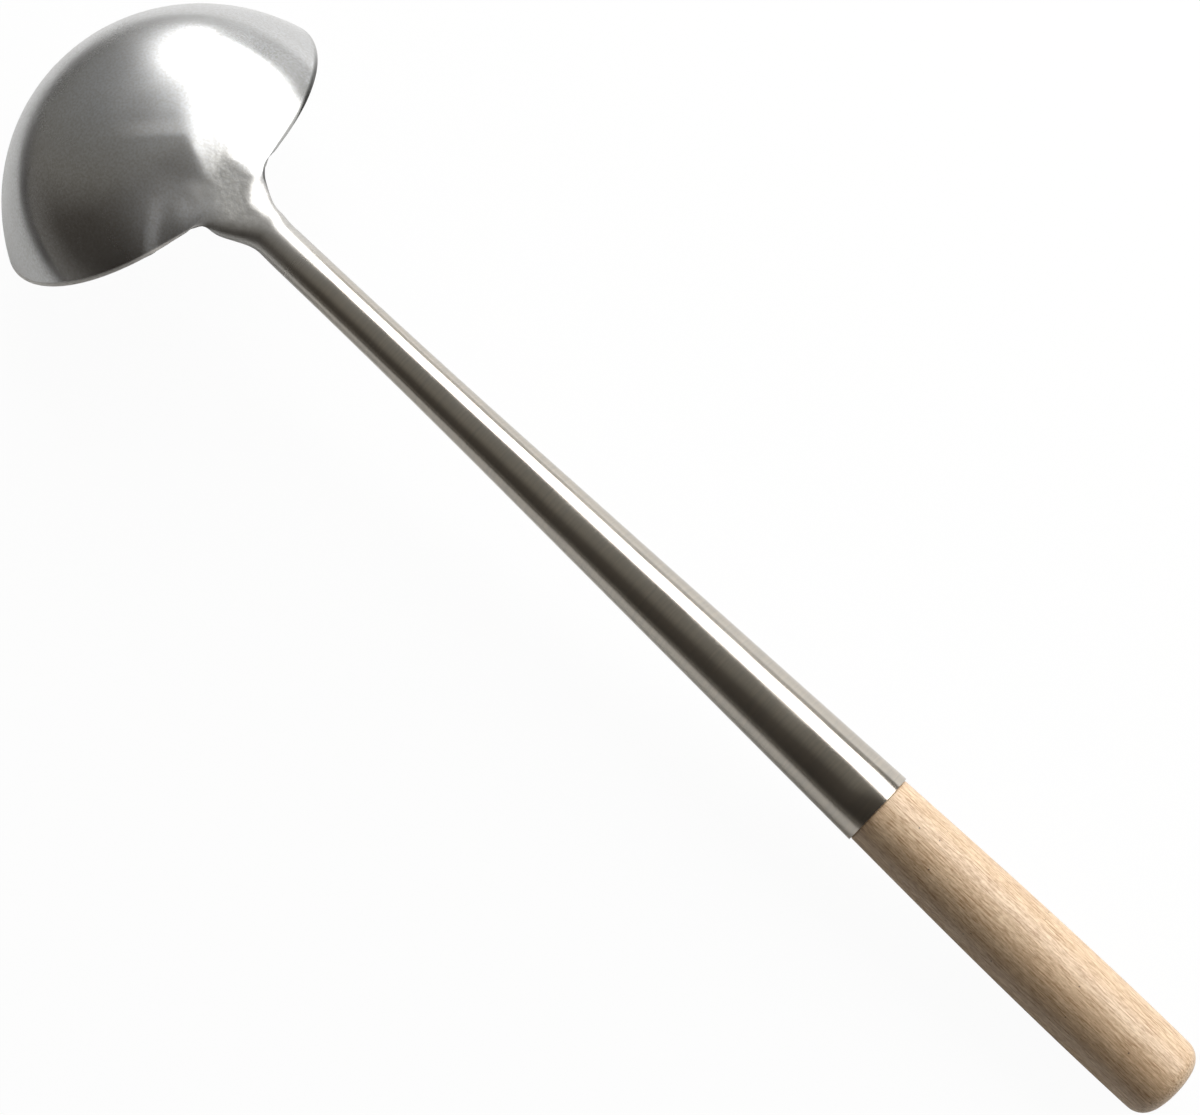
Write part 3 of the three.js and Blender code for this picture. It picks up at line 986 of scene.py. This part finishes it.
# Turned beech: pale ground, soft growth bands, dense fibres and short dark flecks along the grain
def beech():
    material, tree, shader = new_material("beech")
    handle = handle_coordinates(tree)
    bands = noise(tree, stretched(tree, handle, BEECH_BANDS), detail=3, roughness=0.6)
    dashes = noise(tree, stretched(tree, handle, FIBRE_DASHES), detail=2, roughness=0.7)
    threads = noise(tree, stretched(tree, handle, FIBRE_THREADS), detail=2, roughness=0.6)
    fibres = weighed(tree, dashes, threads, (0.5, 0.5))
    flecks = noise(tree, stretched(tree, handle, FLECK_SPOTS), detail=1)
    pores = noise(tree, handle, scale=700, detail=0)
    patches = noise(tree, handle, scale=60, detail=3)
    colour = blended(tree, rising(tree, bands, WIDE_SWING), *BEECH_GROUND)
    for value, run, share, tone in (
        (patches, BEECH_PATCH_RUN, BEECH_PATCH_SHARE, BEECH_PATCH_TONE),
        (fibres, FIBRE_RUN, 1, FIBRE_TONE),
        (flecks, FLECK_RUN, FLECK_SHARE, FLECK_TONE),
        (pores, PORE_RUN, PORE_SHARE, PORE_TONE),
    ):
        colour = blended(tree, rising(tree, value, run, share), colour, tone)
    tree.links.new(colour, shader.inputs["Base Color"])
    tree.links.new(ranged(tree, fibres, *WIDE_SWING, *BEECH_ROUGHNESS), shader.inputs["Roughness"])
    set_inputs(shader, Specular_IOR_Level=0.5, Sheen_Weight=0.05, Sheen_Roughness=0.4)
    set_inputs(shader, Coat_Weight=0.6, Coat_Roughness=0.5)
    normal = bumped(tree, total(tree, fibres, flecks), BEECH_GRAIN_DEPTH)
    tree.links.new(normal, shader.inputs["Normal"])
    return material


# Plain drawn wire, dull in places
def nail_steel():
    material, tree, shader = new_material("nail_steel")
    dull = noise(tree, handle_coordinates(tree), scale=900, detail=4)
    tree.links.new(blended(tree, dull, *NAIL_TONES), shader.inputs["Base Color"])
    tree.links.new(ranged(tree, dull, *WIDE_SWING, *NAIL_ROUGHNESS), shader.inputs["Roughness"])
    set_inputs(shader, Metallic=1.0)
    tree.links.new(bumped(tree, dull, NAIL_DULL_DEPTH), shader.inputs["Normal"])
    return material


# The stage: white table, softbox, oval card, dim room and camera. The table is white to the camera. In the
# steel it is pale round the object and falls off into the dim room. Its colour holds painted shade: darker
# on the side away from the softbox and dim far off, lighter towards the light there. Its glow in the steel
# is only near the object on the lit side, a painted light.
def white_table():
    material, tree, shader = new_material("white_table")
    place = node(tree, "TexCoord").outputs["Object"]
    oval = stretched(tree, place, (2 / TABLE_PALE_LENGTH, 2 / TABLE_PALE_WIDTH, 1))
    near = falling(tree, measured(tree, "LENGTH", oval), (1, TABLE_FALL_OFF))
    # Painted shade: darker on the side away from the softbox, and in the far ring lighter towards the light
    y = axes_of(tree, place)[1]
    lit = rising(tree, y, TABLE_SHADE_RUN)
    pale = blended(tree, lit, TABLE_SHADED, TABLE_PALE)
    dim = blended(tree, rising(tree, y, TABLE_DIM_LIT_RUN), TABLE_DIM, TABLE_DIM_LIT)
    tree.links.new(blended(tree, near, dim, pale), shader.inputs["Base Color"])
    set_inputs(shader, Roughness=TABLE_ROUGHNESS, Specular_IOR_Level=0.0)
    path = node(tree, "LightPath")
    mirrored = total(tree, path.outputs["Is Glossy Ray"], path.outputs["Is Transmission Ray"])
    mirrored = product(tree, mirrored, near, lit, MIRRORED_GLOW)
    seen = product(tree, path.outputs["Is Camera Ray"], CAMERA_GLOW)
    glow = node(tree, "Emission")
    mixing = node(tree, "MixShader")
    tree.links.new(total(tree, seen, mirrored), mixing.inputs["Fac"])
    tree.links.new(shader.outputs["BSDF"], mixing.inputs[1])
    tree.links.new(glow.outputs["Emission"], mixing.inputs[2])
    tree.links.new(mixing.outputs["Shader"], tree.nodes["Material Output"].inputs["Surface"])
    return material


def add_panel(name, shape, place, target, size, radiance):
    bpy.ops.object.light_add(type="AREA", location=place)
    panel = bpy.context.object
    panel.name = name
    panel.rotation_euler = (Vector(target) - Vector(place)).to_track_quat("-Z", "Y").to_euler()
    panel.data.shape = shape
    panel.data.size, panel.data.size_y = size
    area = size[0] * size[1] * (math.pi / 4 if shape == "ELLIPSE" else 1)
    panel.data.energy = radiance * math.pi * area
    panel.visible_camera = False


def set_stage():
    start_fresh()
    bpy.ops.mesh.primitive_plane_add(size=FLOOR_SIZE, location=(0, 0, 0))
    table = named("table")
    table.data.materials.append(white_table())

    add_panel("softbox", "RECTANGLE", SOFTBOX_PLACE, (0, 0, 0), SOFTBOX_SIZE, SOFTBOX_RADIANCE)
    add_panel("round_card", "ELLIPSE", CARD_PLACE, BOWL_MIDDLE, CARD_SIZE, CARD_RADIANCE)


def set_dim_room():
    """Lighter towards the light and along the horizon, and white to the camera."""
    room = bpy.data.worlds.new("dim_room")
    bpy.context.scene.world = room
    room.use_nodes = True
    tree = room.node_tree
    direction = node(tree, "TexCoord").outputs["Generated"]
    facing = measured(tree, "DOT_PRODUCT", direction, Vector(ROOM_LIGHT_SIDE).normalized())
    tones = node(tree, "ValToRGB")
    stops = tones.color_ramp.elements
    while len(stops) < len(ROOM_TONES):
        stops.new(1)
    for stop, (facing_share, tone) in zip(stops, ROOM_TONES):
        stop.position = (facing_share + 1) / 2
        stop.color = tone
    tree.links.new(rising(tree, facing, (-1, 1)), tones.inputs["Fac"])
    low = falling(tree, axes_of(tree, direction)[2], (0, HORIZON_HEIGHT))
    beside_light = measured(tree, "DOT_PRODUCT", direction, HORIZON_LIGHT_SIDE)
    horizon = blended(tree, rising(tree, beside_light, HORIZON_LIT_FROM), HORIZON_TONE, HORIZON_LIT)
    lighter = blended(tree, low, tones.outputs["Color"], horizon, blend_type="LIGHTEN")
    seen = node(tree, "LightPath").outputs["Is Camera Ray"]
    background = tree.nodes["Background"].inputs["Color"]
    tree.links.new(blended(tree, seen, lighter, WHITE), background)


def set_camera():
    bpy.ops.object.camera_add()
    camera = bpy.context.object
    camera.name = "camera"
    camera.data.sensor_width = SENSOR_WIDTH
    camera.data.lens = SENSOR_WIDTH * FOCAL_LENGTH_PX / IMAGE_WIDTH_PX
    camera.matrix_world = (
        Matrix.Translation(Vector(CAMERA_PLACE) * MM)
        @ Matrix.Rotation(math.radians(CAMERA_AZIMUTH), 4, "Z")
        @ Matrix.Rotation(math.radians(90 - CAMERA_ELEVATION), 4, "X")
        @ Matrix.Rotation(math.radians(CAMERA_ROLL), 4, "Z")
    )
    bpy.context.scene.camera = camera
    bpy.context.scene.view_settings.view_transform = "Standard"


belong(model_steel_body(), "steel_body")
belong(model_beech_grip(), "beech_grip")
belong(model_grip_nail(), "grip_nail")
set_stage()
set_dim_room()
set_camera()
